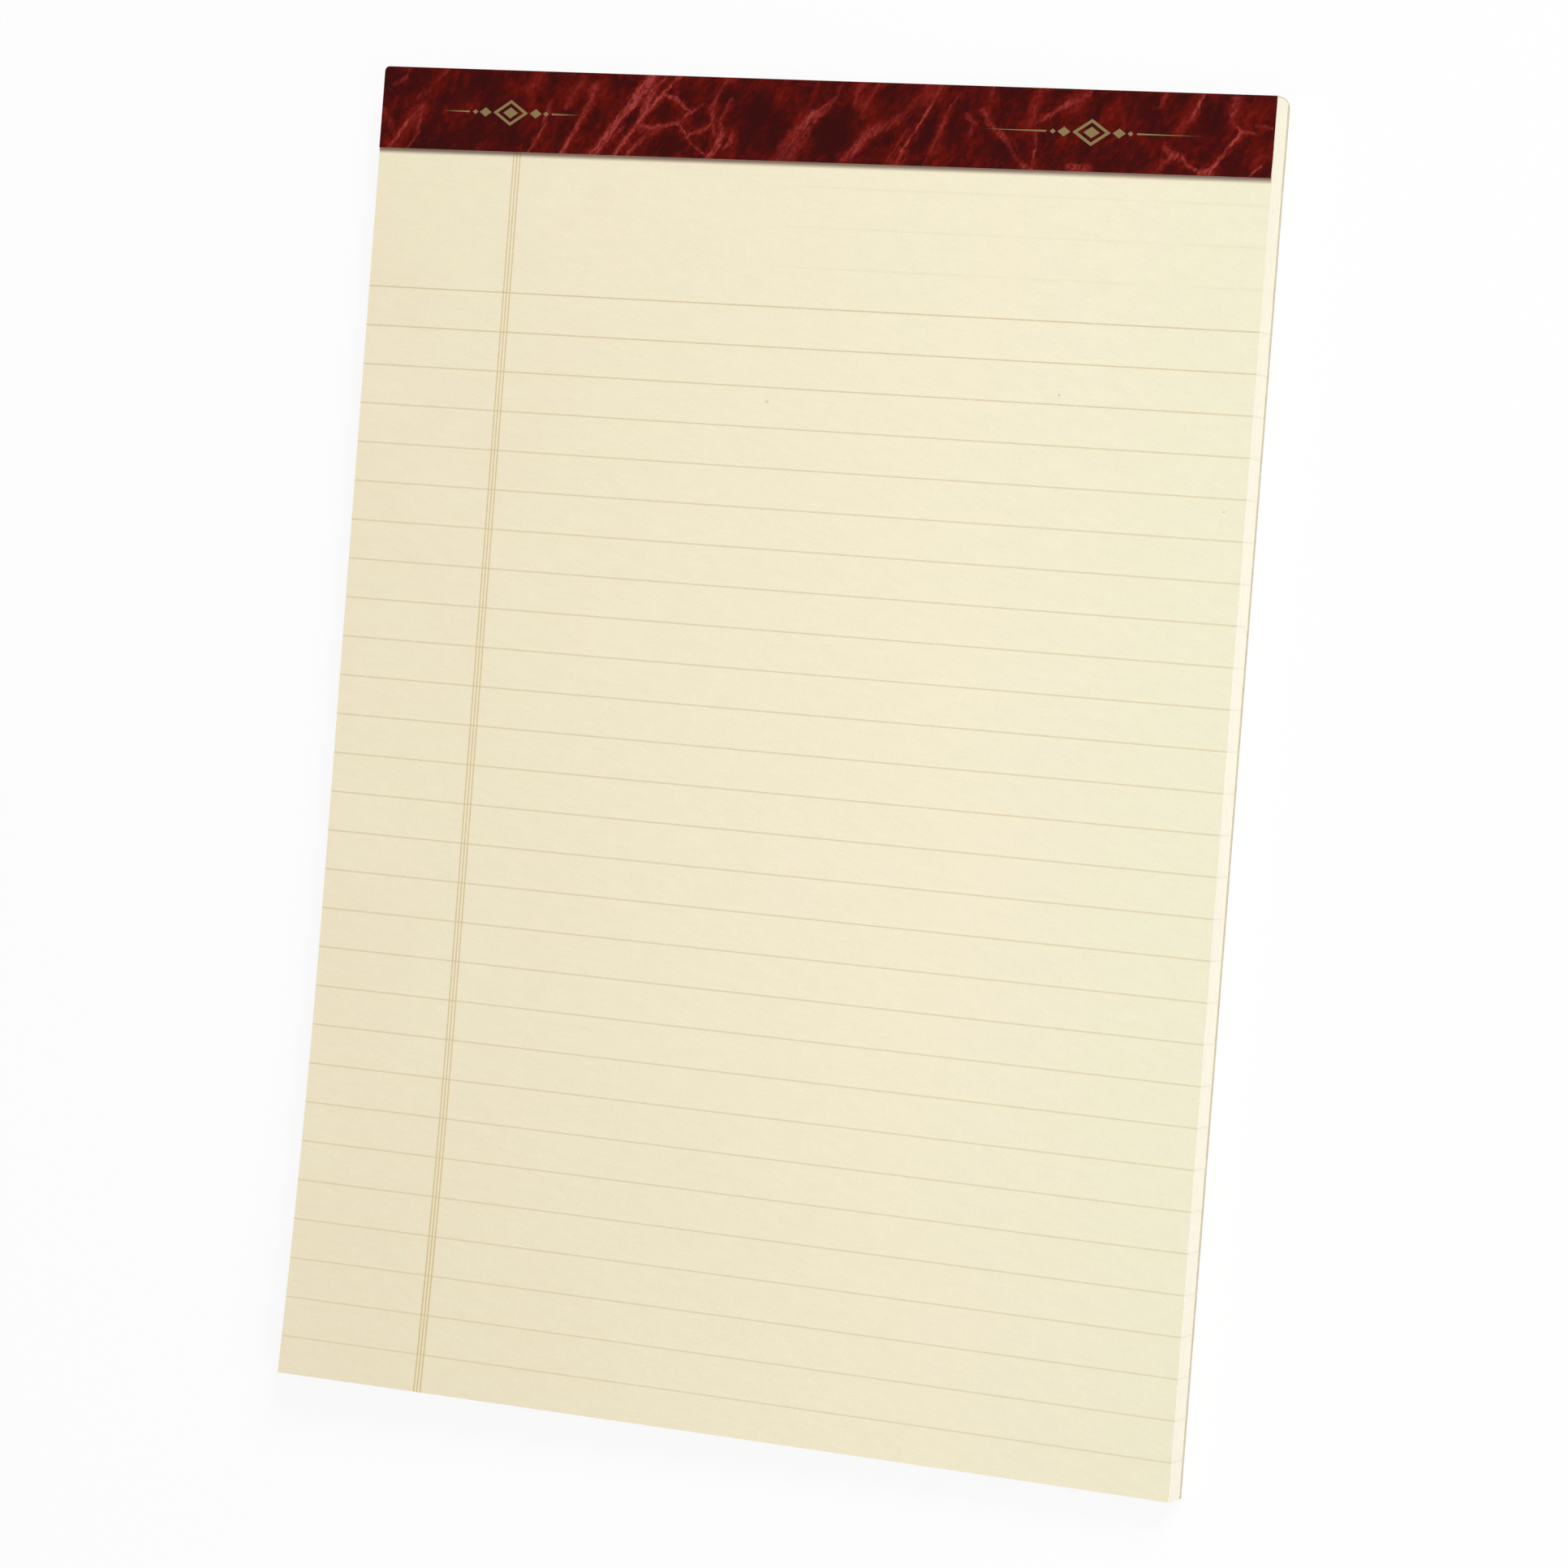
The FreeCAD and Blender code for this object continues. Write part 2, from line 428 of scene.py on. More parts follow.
for sheet in sheets:
    sheet.select_set(True)
writing_sheets = sheets[-1]
bpy.context.view_layer.objects.active = writing_sheets
bpy.ops.object.join()
writing_sheets.name = "writing_sheets"
writing_sheets.data.name = "writing_sheets"
bpy.ops.object.shade_smooth_by_angle(angle=math.radians(30))
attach(writing_sheets, "root")
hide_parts("sheet_block")


# Wire stitches. Tinned steel wire driven through the sheets and the board along the head,
# and clinched on the back. The binding strip covers them.
stitch_count = 4
wire_grey = colour(188, 188, 186)
wire_dark = colour(150, 149, 146)

stitching_wire, shader, place = finish("stitching_wire", 0.35, 0.5)
shader.inputs["Metallic"].default_value = 1.0
drawn = place.stretched((0.4, 6.0, 0.4)).noise(2.0, 3.0, 0.6)
feed(shader, Base_Color=drawn.mix(opaque(wire_dark), opaque(wire_grey)),
     Roughness=0.28 + drawn * 0.2)
bump(shader, drawn, 0.2, 0.02 * mm)
for number in range(1, stitch_count + 1):
    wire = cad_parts[f"binding_stitch_{number}"]
    wire.data.materials.clear()
    wire.data.materials.append(stitching_wire)


# Binding strip. One band of dark red marbled binding paper, glued on the page, folded over
# the head, rubbed down round its rolled edge and glued on the back. Its front edge was cut
# a little out of square, and its cut edges show a pale core.
band_gauge = 0.19 * mm
back_leg = 12.7 * mm
spare = 1.0 * mm
front_lift = 0.3 * mm
front_inset = 0.15 * mm
glue_free = 6.0 * mm
corner_ease = 3.0 * mm
outer_radius = roll_radius + strip_gauge
roll_angle = math.asin(roll_height / outer_radius)
roll_foot = sheet_head - roll_radius + outer_radius * math.cos(roll_angle)
band_top = page + strip_gauge

# Places along the flat band. Its front leg lies there as it does on the page.
band_start = head - front_left - spare
band_front = head - (front_left + front_right) / 2
fold_start = sheet_head
fold_end = fold_start + strip_gauge * math.pi / 2
face_end = fold_end + page - roll_height
roll_end = face_end + outer_radius * roll_angle
band_end = roll_end + roll_foot - (head - back_leg)

band_black = colour(53, 10, 9)
band_dark = colour(64, 11, 9)
band_red = colour(92, 15, 8)
band_bright = colour(115, 29, 23)
vein_red = colour(123, 36, 32)
vein_rose = colour(158, 63, 58)
gold_matt = colour(136, 117, 79)

# Each vein: its points from its upper or left end, as place across, place up the page, half
# its width, all in millimetres, and how strongly it shows.
veins = [
    [(-97.8, 140.4, 0.4, 0.7), (-101.1, 136.9, 0.45, 0.8), (-104.9, 131.1, 0.4, 0.8)],
    [(-97.6, 140.8, 0.5, 0.7), (-98.2, 134.2, 0.5, 0.6), (-100.3, 130.9, 0.4, 0.5)],
    [(-101.5, 148.8, 0.7, 0.5), (-102.2, 146.7, 0.7, 0.5), (-105.7, 145.0, 0.4, 0.3)],
    [(-91.5, 149.0, 0.5, 0.4), (-96.5, 143.8, 0.5, 0.4), (-99.0, 142.3, 0.5, 0.4)],
    [(-107.4, 139.5, 0.8, 0.5), (-105.7, 136.5, 0.9, 0.4), (-104.0, 133.0, 0.6, 0.2)],
    [(-67.0, 149.0, 0.5, 0.5), (-68.4, 146.5, 0.5, 0.5), (-72.0, 145.4, 0.4, 0.3)],
    [(-56.8, 148.0, 0.4, 0.4), (-60.3, 143.0, 0.5, 0.5), (-61.0, 141.4, 0.6, 0.5)],
    [(-54.0, 146.9, 0.7, 0.6), (-54.7, 142.7, 0.8, 0.6), (-56.8, 139.2, 0.7, 0.8),
     (-58.6, 135.4, 0.6, 0.9), (-60.9, 131.1, 0.6, 0.9)],
    [(-64.9, 142.3, 0.6, 0.5), (-66.1, 137.7, 0.6, 0.6), (-67.2, 135.0, 0.5, 0.7),
     (-69.3, 131.1, 0.4, 0.7)],
    [(-39.6, 149.0, 1.2, 0.8), (-41.7, 146.3, 1.4, 1.0), (-44.4, 142.3, 1.2, 1.0),
     (-47.7, 138.8, 1.0, 0.9), (-50.0, 135.4, 1.0, 0.9), (-52.8, 131.5, 1.0, 0.9)],
    [(-36.7, 148.6, 0.5, 0.7), (-39.2, 146.1, 0.9, 0.7), (-40.9, 142.3, 1.0, 0.8),
     (-42.5, 138.4, 0.5, 0.7)],
    [(-33.0, 149.0, 0.45, 0.8), (-35.9, 146.1, 0.45, 0.9), (-39.0, 143.0, 0.45, 1.0),
     (-42.5, 138.4, 0.55, 1.0), (-44.8, 135.4, 0.55, 1.0), (-47.8, 131.1, 0.55, 0.9)],
    [(-42.5, 137.7, 0.5, 0.8), (-39.0, 137.7, 0.5, 0.8), (-35.5, 138.0, 0.4, 0.7),
     (-32.5, 138.6, 0.5, 0.9), (-30.9, 136.9, 0.5, 0.8), (-29.4, 134.6, 0.4, 0.6),
     (-25.5, 131.9, 0.4, 0.6)],
    [(-36.7, 145.0, 0.5, 0.7), (-33.2, 143.8, 0.6, 0.8), (-29.8, 141.3, 0.5, 0.8)],
    [(-29.8, 141.3, 0.5, 0.8), (-31.2, 140.0, 0.5, 0.8), (-31.9, 138.8, 0.5, 0.7)],
    [(-29.8, 141.3, 0.4, 0.7), (-26.7, 142.9, 0.35, 0.5)],
    [(-29.8, 136.0, 0.4, 0.8), (-27.0, 137.2, 0.4, 0.7), (-25.5, 137.7, 0.4, 0.6),
     (-24.0, 139.6, 0.4, 0.6)],
    [(-21.3, 148.6, 0.4, 0.6), (-23.6, 144.6, 0.4, 0.6), (-24.6, 141.8, 0.9, 0.6),
     (-24.0, 139.2, 0.5, 0.6), (-23.4, 136.5, 0.5, 0.6)],
    [(-19.8, 144.6, 0.5, 0.4), (-20.9, 141.9, 0.5, 0.5), (-22.3, 139.4, 0.6, 0.7),
     (-21.7, 136.9, 0.8, 0.8), (-22.5, 134.0, 0.8, 0.9), (-24.4, 131.1, 0.8, 0.8)],
    [(-19.2, 138.3, 0.3, 0.5), (-19.2, 135.4, 0.6, 0.9), (-21.1, 133.0, 0.4, 0.5)],
    [(0.4, 142.4, 0.9, 0.85), (-2.1, 138.4, 1.9, 0.62), (-3.9, 135.4, 2.3, 0.52),
     (-6.3, 131.1, 2.6, 0.48)],
    [(6.5, 148.8, 0.5, 0.3), (5.8, 146.1, 0.5, 0.4), (3.6, 143.9, 0.9, 0.7),
     (1.9, 142.3, 1.3, 0.8), (-0.4, 140.0, 0.9, 0.7)],
    [(11.9, 148.8, 0.8, 0.5), (10.4, 146.5, 0.5, 0.5), (10.2, 143.8, 0.5, 0.4)],
    [(15.4, 148.8, 0.5, 0.5), (13.1, 145.0, 0.6, 0.5), (11.9, 141.1, 0.5, 0.3)],
    [(28.5, 147.8, 1.8, 0.3), (23.8, 144.6, 1.0, 0.3), (21.5, 141.9, 0.9, 0.4),
     (18.5, 140.0, 1.0, 0.5), (13.8, 138.0, 1.0, 0.7), (11.9, 135.4, 1.3, 0.8),
     (9.2, 133.0, 0.9, 0.6), (7.7, 131.5, 0.8, 0.5)],
    [(30.4, 148.8, 0.6, 0.5), (28.5, 145.0, 0.35, 0.8), (26.9, 141.9, 0.3, 1.0),
     (24.6, 138.4, 0.3, 0.9), (22.7, 135.4, 0.3, 1.0), (21.2, 131.7, 0.3, 0.9)],
    [(23.1, 139.2, 0.25, 0.5), (20.8, 135.4, 0.25, 0.6), (19.0, 132.3, 0.25, 0.4)],
    [(35.0, 147.7, 0.4, 0.4), (32.7, 143.8, 0.3, 0.5), (31.2, 140.0, 0.35, 0.7),
     (29.6, 135.8, 0.35, 0.7), (28.1, 132.3, 0.3, 0.4)],
    [(36.9, 143.0, 0.9, 0.5), (38.8, 141.1, 0.8, 0.6), (37.7, 138.4, 0.4, 0.4)],
    [(40.4, 144.2, 0.6, 0.6), (42.3, 141.1, 0.7, 0.55), (45.0, 139.2, 0.8, 0.7),
     (47.3, 136.5, 0.5, 0.4), (49.2, 133.8, 0.5, 0.45), (51.5, 132.3, 0.8, 0.7)],
    [(42.7, 148.8, 0.5, 0.5), (42.3, 146.1, 0.5, 0.4)],
    [(53.8, 148.8, 0.3, 0.6), (52.7, 144.6, 0.3, 0.6), (53.2, 141.0, 0.3, 0.4),
     (53.6, 138.0, 0.35, 0.7), (53.4, 135.0, 0.45, 0.7), (53.1, 131.5, 0.4, 0.6)],
    [(65.5, 148.8, 0.7, 0.7), (63.6, 146.9, 0.6, 0.7), (59.8, 145.8, 0.7, 0.8),
     (56.3, 143.4, 0.5, 0.7), (53.4, 141.9, 0.4, 0.5)],
    [(82.7, 148.8, 0.5, 0.6), (81.7, 145.8, 0.4, 0.5)],
    [(91.3, 149.0, 0.5, 0.6), (90.2, 146.1, 0.5, 0.8), (88.2, 143.0, 0.4, 0.6),
     (86.6, 140.1, 0.4, 0.3)],
    [(99.0, 148.4, 1.4, 0.6), (98.2, 144.6, 0.8, 0.6)],
    [(98.2, 143.4, 0.4, 0.5), (100.5, 141.3, 0.5, 0.8), (103.2, 141.1, 0.4, 0.5)],
    [(100.7, 141.3, 0.6, 0.9), (97.8, 138.0, 0.4, 0.9), (95.5, 134.6, 0.4, 1.0),
     (93.6, 132.3, 0.6, 1.0)],
    [(103.6, 142.9, 0.4, 0.4), (107.9, 142.0, 0.4, 0.6)],
    [(105.5, 134.2, 0.3, 0.7), (103.2, 131.9, 0.3, 0.7)],
    [(83.2, 137.3, 0.7, 0.6), (84.8, 135.8, 0.9, 0.8), (87.8, 135.2, 0.8, 0.7),
     (89.0, 133.8, 0.5, 0.7), (90.9, 132.7, 0.6, 0.7), (94.6, 132.1, 0.9, 0.8)],
    [(84.8, 135.4, 0.6, 0.6), (82.5, 133.0, 0.5, 0.5), (81.3, 131.5, 0.4, 0.4)],
    [(61.0, 132.5, 0.5, 0.4), (62.5, 132.3, 1.1, 0.7), (66.7, 132.2, 1.0, 0.6)],
    [(-49.4, 135.0, 0.5, 0.5), (-47.2, 136.1, 0.7, 0.6), (-45.6, 137.7, 0.4, 0.4)],
    [(-44.4, 131.5, 0.9, 0.7), (-40.5, 135.4, 0.8, 0.5), (-37.0, 137.3, 0.4, 0.5)],
]

# Clouds in the marble: place across, place up, half width and half height, in millimetres,
# and how much lighter or darker they are.
clouds = [
    (-103.0, 146.0, 7.0, 4.0, -0.5), (-92.0, 133.0, 8.0, 4.5, -0.9), (-80.0, 147.0, 5.0, 2.5, -0.8),
    (-77.0, 134.0, 9.0, 4.5, -0.8), (-70.0, 144.0, 5.0, 3.0, 0.4), (-52.0, 144.0, 5.0, 4.0, 0.5),
    (-46.5, 147.5, 4.0, 2.5, -0.9), (-44.5, 140.0, 2.0, 3.0, -0.9), (-52.0, 139.5, 2.5, 2.0, -0.4),
    (-35.0, 134.0, 5.0, 3.0, -0.8), (-37.5, 141.0, 2.6, 2.2, -0.6), (-33.0, 141.6, 2.6, 2.2, 0.5),
    (-27.5, 139.6, 3.0, 2.0, -1.0), (-27.0, 134.5, 2.5, 1.6, -0.7), (-20.5, 146.0, 2.5, 2.0, -0.8),
    (-13.0, 139.0, 5.5, 7.0, -1.1), (-8.0, 146.5, 3.0, 2.0, 0.5), (-15.3, 144.2, 1.3, 1.3, 0.9),
    (4.0, 137.0, 6.0, 5.0, -1.1), (2.5, 147.5, 3.0, 2.0, 0.2), (18.5, 147.0, 3.0, 2.5, -0.7),
    (8.0, 142.0, 2.5, 2.0, -0.4), (27.5, 147.0, 3.0, 3.0, 0.6), (28.5, 139.0, 2.5, 5.5, -0.8),
    (34.0, 144.5, 2.5, 2.5, -0.6), (46.0, 143.0, 3.5, 2.5, -0.3), (57.0, 133.5, 4.0, 2.5, -0.6),
    (70.5, 133.5, 5.0, 2.5, -0.7), (60.0, 147.0, 3.0, 1.5, 0.5), (76.0, 147.0, 4.0, 2.0, 0.3),
    (90.0, 133.6, 1.6, 1.0, -0.8), (94.5, 144.0, 2.2, 4.0, -0.9), (91.0, 137.0, 4.0, 2.5, -0.6),
    (102.5, 136.0, 3.5, 3.0, 0.5), (104.5, 147.0, 3.0, 2.5, 0.3), (66.0, 140.0, 3.0, 4.0, 0.2),
]


# A vein fades out past its ends. One that reaches the strip's front edge or the head runs on.
# Its core is the bright line, and its dust the paler marble for some way round it.
vein_fade = 0.8
vein_run_on = 5.0
runs_off_front = 132.4
runs_off_head = 148.5
widest_vein = 8.0
dust_reach = 2.4


def vein_maths():
    """Nodes that every vein shares. They add its core and its dust to what is there so far."""
    group = bpy.data.node_groups.new("vein", "ShaderNodeTree")
    for name in ("Aside", "Middle", "Reach", "Strength", "Core", "Dust"):
        group.interface.new_socket(name=name, in_out="INPUT", socket_type="NodeSocketFloat")
    for name in ("Core", "Dust"):
        group.interface.new_socket(name=name, in_out="OUTPUT", socket_type="NodeSocketFloat")
    given = group.nodes.new("NodeGroupInput").outputs
    aside, middle, reach, strength, core, dust = [Shade(group, given[k]) for k in range(6)]
    away = (aside - middle).math("ABSOLUTE") - reach
    core_share = (away / (reach * 0.5 + 0.25)).rise(-0.8, 0.7)
    core = core.math("MAXIMUM", (1.0 - core_share) * strength)
    dust = dust.math("MAXIMUM", (1.0 - away.rise(-0.3, dust_reach)) * strength)
    taken = group.nodes.new("NodeGroupOutput").inputs
    group.links.new(core.socket, taken["Core"])
    group.links.new(dust.socket, taken["Dust"])
    return group


def vein(across, up, points, core, dust):
    """Adds one vein. Curves hold its middle, its half width and how strongly it shows."""
    steep = abs(points[-1][1] - points[0][1]) > abs(points[-1][0] - points[0][0])
    runs, aside = (up, across) if steep else (across, up)
    rows = sorted((y, x, w, s) if steep else (x, y, w, s) for x, y, w, s in points)
    slope = (rows[-1][1] - rows[0][1]) / (rows[-1][0] - rows[0][0])
    widen = math.sqrt(1 + slope**2)
    fade_low = vein_run_on if steep and rows[0][0] < runs_off_front else vein_fade
    fade_high = vein_run_on if steep and rows[-1][0] > runs_off_head else vein_fade
    start = (rows[0][0] - fade_low, rows[0][1] - slope * fade_low, rows[0][2], 0.0)
    end = (rows[-1][0] + fade_high, rows[-1][1] + slope * fade_high, rows[-1][2], 0.0)
    rows = [start, *rows, end]
    low, high = rows[0][0], rows[-1][0]
    side = min(row[1] for row in rows)
    spread = max(row[1] for row in rows) - side + 0.01
    stops = [((run - low) / (high - low),
              ((beside - side) / spread, half_width * widen / widest_vein, strength))
             for run, beside, half_width, strength in rows]
    share = runs.node("MapRange", {}, {"Value": runs, "From Min": low, "From Max": high})
    ramp = share.node("ValToRGB", {"stops": stops}, {0: share})
    held = ramp.node("SeparateColor", {}, {0: ramp})
    joined = ramp.node("Group", {"node_tree": vein_nodes},
                       {"Aside": aside, "Middle": held * spread + side,
                        "Reach": held.output("Green") * widest_vein,
                        "Strength": held.output("Blue"), "Core": core, "Dust": dust})
    return joined, joined.output("Dust")


def cracks(place, scale, width):
    """Thin lines between the cells of a net. Their width is in cells."""
    net = place.node("TexVoronoi", {"feature": "DISTANCE_TO_EDGE"},
                     {"Vector": place, "Scale": scale})
    return 1.0 - net.rise(0.0, width)


# Gold ornament, printed twice on the front leg: middle across, middle up, half its length.
# On each side of its large lozenge are small ones, each a place and its half sizes, and a
# line that tapers outwards.
ornaments = [(-74.8, 139.6, 17.5), (66.3, 140.0, 25.0)]
large_lozenge = (4.4, 2.9)
small_lozenges = [(6.4, 1.5, 1.05), (9.0, 0.7, 0.55)]
taper_start = 10.5
taper_half = 0.2


def lozenge(aside, above, middle, half_width, half_height):
    """0 in the middle of a lozenge and 1 at its rim."""
    return (aside - middle).math("ABSOLUTE") / half_width + above / half_height


def ornament(flat, middle_across, middle_up, reach):
    """1 on the gold of one ornament, which is the same on both sides of its middle."""
    across, up, _ = flat.axes()
    aside = (across - middle_across).math("ABSOLUTE")
    above = (up - middle_up).math("ABSOLUTE")
    large = lozenge(aside, above, 0.0, *large_lozenge)
    ring = large.rise(0.72, 0.77) * (1.0 - large.rise(0.98, 1.03))
    mark = ring.math("MAXIMUM", 1.0 - large.rise(0.4, 0.46))
    for middle, half_width, half_height in small_lozenges:
        small = lozenge(aside, above, middle, half_width, half_height)
        mark = mark.math("MAXIMUM", 1.0 - small.rise(0.93, 1.07))
    taper = (reach - aside) * (taper_half / (reach - taper_start)) - above
    taper = taper.rise(-0.03, 0.05) * aside.math("GREATER_THAN", taper_start)
    return mark.math("MAXIMUM", taper)


# The finish is drawn on the flat band, in millimetres, through its UV map. Two noises wander
# its veins and clouds about, and the marble runs along a slanting line.
wander_reach = 1.5
fray_reach = 0.4
marble_turn = 58.0
past_fold = (149.4, 151.5)

marbled_band, shader, place = finish("marbled_band", 0.5, 0.04)
unrolled = place.node("UVMap", {"uv_map": "UVMap"})
unrolled = unrolled.scaled(((right - left) / mm, (band_end - band_start) / mm, 1.0),
                           (left / mm, band_start / mm, 0.0))
wander = unrolled.noise(0.5, 3.0, 0.6).output("Color")
fray = unrolled.noise(1.8, 3.0, 0.6).output("Color")
moved = wander.scaled((wander_reach, wander_reach, 0.0), unrolled)
moved = fray.scaled((fray_reach, fray_reach, 0.0), moved)
settle = -(wander_reach + fray_reach) / 2
moved = moved.scaled((1.0, 1.0, 1.0), (settle, settle, 0.0))
across, up, _ = moved.axes()

cloud = moved.stretched((1.8, 1.0, 1.0), marble_turn).noise(0.2, 3.0, 0.6, 0.4)
mottle = moved.stretched((1.8, 1.0, 1.0), marble_turn - 3.0).noise(0.8, 5.0, 0.6, 0.3)
value = (cloud - 0.5) * 1.7 + (mottle - 0.5) * 1.2 + 0.355
for x, y, half_width, half_height, change in clouds:
    away = moved.scaled((1 / half_width, 1 / half_height, 0.0),
                        (-x / half_width, -y / half_height, 0.0)).length()
    value = value + (1.0 - away.rise(0.2, 1.4)) * (change * 0.32)

# Fine cracks all over, and longer ones past the fold, where none of the veins reaches.
net = moved.stretched((2.2, 1.0, 1.0), marble_turn)
fine = cracks(net, 0.3, 0.05) * unrolled.noise(0.2, 2.0).rise(0.48, 0.7)
long = cracks(net, 0.09, 0.055) * up.rise(*past_fold)
long = long * (unrolled.noise(0.11, 2.0).rise(0.36, 0.56) * 0.8 + 0.2)
glow = fine * 0.3 + long * 0.75
dust = fine * 0.2 + long * 0.6
vein_nodes = vein_maths()
for points in veins:
    glow, dust = vein(across, up, points, glow, dust)
crumbs = moved.noise(1.1, 4.0, 0.65)
strands = moved.stretched((7.0, 1.0, 1.0), marble_turn + 2.0).noise(1.7, 3.0, 0.6)
glow = glow * (crumbs.rise(0.3, 0.66) * 0.44 + strands.rise(0.38, 0.6) * 0.46 + 0.2)
patches = moved.noise(0.8, 5.0, 0.75).rise(0.42, 0.62)
value = value + dust * (patches * 0.6 + 0.08)

tone = value.node("ValToRGB", {"stops": [(0.0, band_black), (0.28, band_dark),
                                         (0.6, band_red), (1.0, band_bright)]}, {0: value})
tone = glow.rise(0.0, 0.7).mix(tone, opaque(vein_red))
tone = (glow.rise(0.4, 0.9) * 0.8).mix(tone, opaque(vein_rose))
grit = unrolled.noise(4.0, 2.0, 0.6)
tone = tone.node("HueSaturation", {}, {"Color": tone, "Value": 0.9 + grit * 0.2})
left_mark, right_mark = [ornament(unrolled, *sizes) for sizes in ornaments]
gilding = left_mark.math("MAXIMUM", right_mark)
tone = (gilding * (grit.rise(0.15, 0.35) * 0.2 + 0.8)).mix(tone, opaque(gold_matt))
feed(shader, Base_Color=tone, Roughness=0.42 + grit * 0.18)
bump(shader, grit, 0.15, 0.04 * mm)


# Core of the band's paper, which shows where it is cut, stained here and there.
core_pale = colour(216, 202, 184)
core_stained = colour(176, 140, 122)

band_core, shader, place = finish("band_core", 0.9, 0.1)
stain = place.noise(0.8, 4.0, 0.7)
feed(shader, Base_Color=stain.rise(0.45, 0.75).mix(opaque(core_pale), opaque(core_stained)),
     Roughness=0.85 + stain * 0.12)
bump(shader, stain, 0.1, 0.03 * mm)


def folded(v):
    """Where a place v along the flat band comes to lie, as (y, z), once the band is folded."""
    if v <= fold_start:
        return v, band_top + front_lift * max(0.0, 1 - (v - band_front) / glue_free) ** 2
    if v <= fold_end:
        turn = (v - fold_start) / strip_gauge
        return fold_start + strip_gauge * math.sin(turn), page + strip_gauge * math.cos(turn)
    if v <= face_end:
        return head, page - (v - fold_end)
    if v <= roll_end:
        turn = (v - face_end) / outer_radius
        y = sheet_head - roll_radius + outer_radius * math.cos(turn)
        return y, roll_height - outer_radius * math.sin(turn)
    return roll_foot - (v - roll_end), 0.0


def blunt(x):
    """How far back the blunt left corner pushes the head, at a place across the page."""
    into = min(1.0, max(0.0, 1.0 - (x - left) / corner_round))
    return corner_round * (1.0 - math.sqrt(1.0 - into**2))


def steps(start, end, count):
    """Evenly spaced places from start to end."""
    return [start + (end - start) * step / count for step in range(count + 1)]


band = flat_blank("binding_band", left, right, band_start, band_end)
creases = [*steps(head, head - corner_ease, 4)[1:],
           *steps(band_front, band_front + glue_free, 6),
           *steps(fold_start, fold_end, 5),
           *steps(face_end, roll_end, 12)]
for crease in creases:
    score((0.0, crease, 0.0), (0.0, 1.0, 0.0))
corner_cuts = [left + corner_round * share for share in (0.08, 0.29, 0.62, 1.0)]
for cut in (*corner_cuts, left + corner_ease):
    score((cut, 0.0, 0.0), (1.0, 0.0, 0.0))
out_of_square = Vector((front_right - front_left, right - left, 0.0)).normalized()
score((left, head - front_left, 0.0), -out_of_square, clear_outer=True)
bpy.ops.object.mode_set(mode="OBJECT")
# Each place is folded over, drawn back at the blunt corner, and drawn in where the left end
# of the front edge lifts.
for vertex in band.data.vertices:
    x, flat_y, _ = vertex.co
    y, z = folded(flat_y)
    if flat_y < fold_end:
        y -= blunt(x) * max(0.0, 1.0 - (head - y) / corner_ease)
    else:
        y = min(y, head - blunt(x))
    end_share = max(0.0, 1.0 - (x - left) / corner_ease)
    x += end_share * max(0.0, z - band_top) / front_lift * front_inset
    vertex.co = (x, y, z)
band.data.materials.append(marbled_band)
band.data.materials.append(band_core)
thicken(band, band_gauge, -1.0)
bpy.ops.object.shade_smooth_by_angle(angle=math.radians(30))
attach(band, "root")
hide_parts("binding_strip")


# Floor and light. A plain white floor that shows white to the camera and keeps the pad's
# shadow, a large soft lamp beyond the head on the right, a smaller one on the right, and
# even light all round.
floor_half = 4.0
floor_drop = 0.02 * mm
floor_white = (0.86, 0.86, 0.86)
plain_white = (1.0, 1.0, 1.0)
white_share = 0.9
ambient = 0.36


def looked_at(start):
    """1 for the rays that look, straight, in a gloss or through glass, and 0 for the others."""
    looks = start.node("LightPath", output="Is Camera Ray")
    looks = looks + looks.output("Is Glossy Ray") + looks.output("Is Transmission Ray")
    return looks.math("MINIMUM", 1.0)


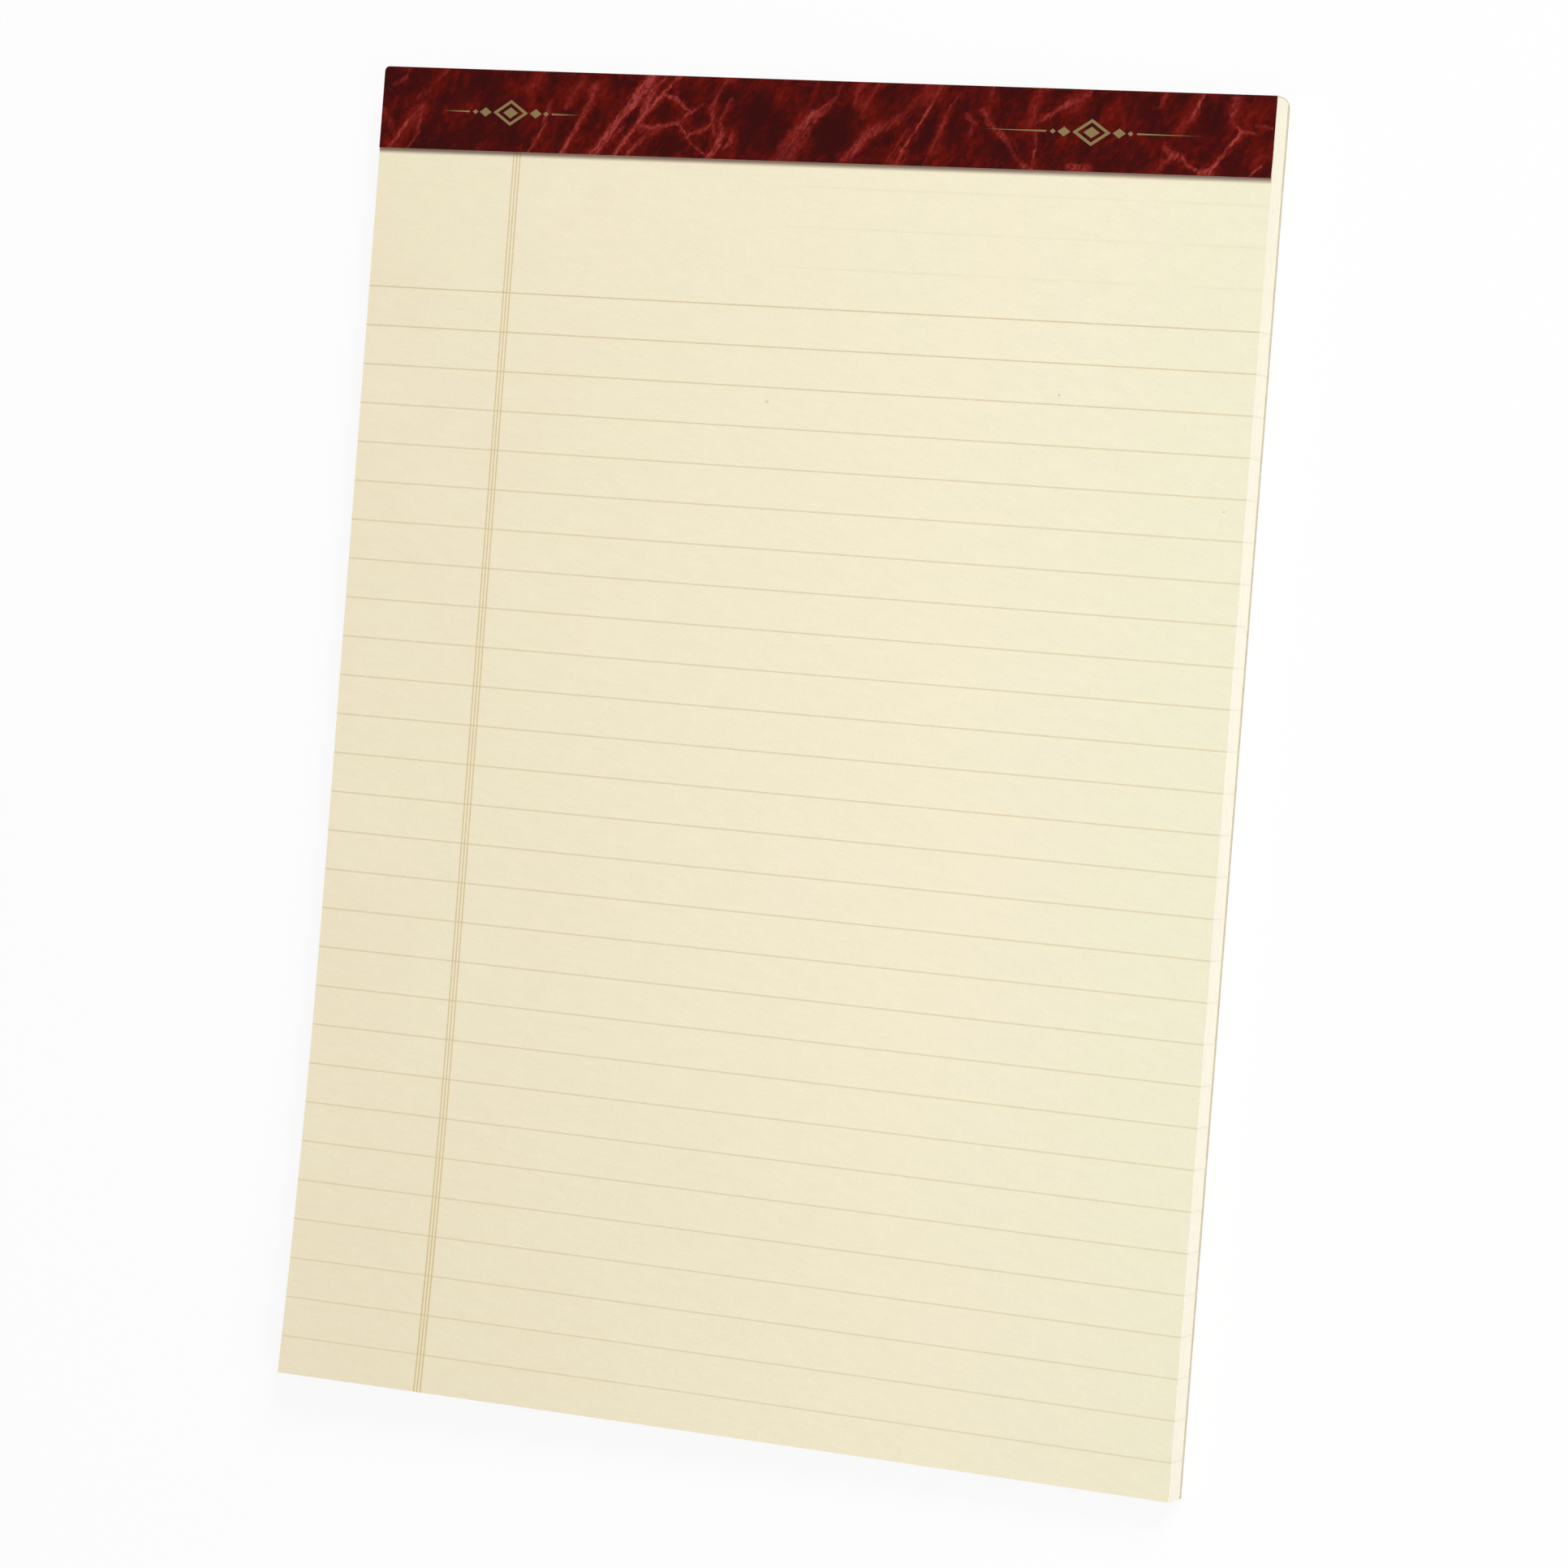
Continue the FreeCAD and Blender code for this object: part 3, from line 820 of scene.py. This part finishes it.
bpy.ops.mesh.primitive_plane_add(size=2 * floor_half, location=(0.0, 0.0, -floor_drop))
floor = bpy.context.object
floor.name = "floor"
floor_paint, shader, place = finish("floor_paint", 1.0, 0.0)
shader.inputs["Base Color"].default_value = opaque(floor_white)
white = place.node("Emission", {}, {"Color": opaque(plain_white), "Strength": 1.0})
share = looked_at(place) * white_share
mixed = share.node("MixShader", {}, {0: share, 1: Shade(place.tree, shader.outputs[0]), 2: white})
surface = place.tree.nodes["Material Output"].inputs["Surface"]
place.tree.links.new(mixed.socket, surface)
floor.data.materials.append(floor_paint)

world = bpy.data.worlds.new("studio")
bpy.context.scene.world = world
world.use_nodes = True
backdrop = world.node_tree.nodes["Background"]
backdrop.inputs["Color"].default_value = opaque(plain_white)
strength = looked_at(Shade(world.node_tree)) * (1.0 - ambient) + ambient
world.node_tree.links.new(strength.socket, backdrop.inputs["Strength"])

# Each lamp: its name, place, width, and the light that it gives the page. Its power makes up
# for its distance and its slant.
lamps = [("key_lamp", (1.6, 2.5, 2.3), 1.5, 0.44), ("side_lamp", (1.15, -0.1, 1.0), 0.6, 0.23)]
for name, spot, width, level in lamps:
    spot = Vector(spot)
    lamp_data = bpy.data.lights.new(name, "AREA")
    lamp_data.shape = "SQUARE"
    lamp_data.size = width
    lamp_data.energy = level * math.pi**2 * spot.length**3 / spot.z
    lamp = bpy.data.objects.new(name, lamp_data)
    bpy.context.collection.objects.link(lamp)
    lamp.location = spot
    lamp.rotation_euler = (-spot).to_track_quat("-Z", "Y").to_euler()


# Camera. It looks down on the pad from its right, with a long lens.
camera_data = bpy.data.cameras.new("camera")
camera = bpy.data.objects.new("camera", camera_data)
bpy.context.collection.objects.link(camera)
picture = 1932
focal_pixels = 6741.0
middle_across = 972.7
middle_down = 823.0
camera_data.sensor_width = 36.0
camera_data.lens = focal_pixels / picture * camera_data.sensor_width
camera_data.shift_x = (picture / 2 - middle_across) / picture
camera_data.shift_y = (middle_down - picture / 2) / picture
camera_data.clip_start = 0.05
camera_data.clip_end = 50.0
camera_place = (0.51195, 0.037125, 1.09505)
camera_right = (0.9031, 0.07678, -0.42251)
camera_up = (-0.0755, 0.99695, 0.01979)
camera_back = (0.42275, 0.01403, 0.90614)
turn = Matrix((camera_right, camera_up, camera_back)).transposed().to_4x4()
camera.matrix_world = Matrix.Translation(camera_place) @ turn
bpy.context.scene.camera = camera
bpy.context.scene.view_settings.view_transform = "Standard"
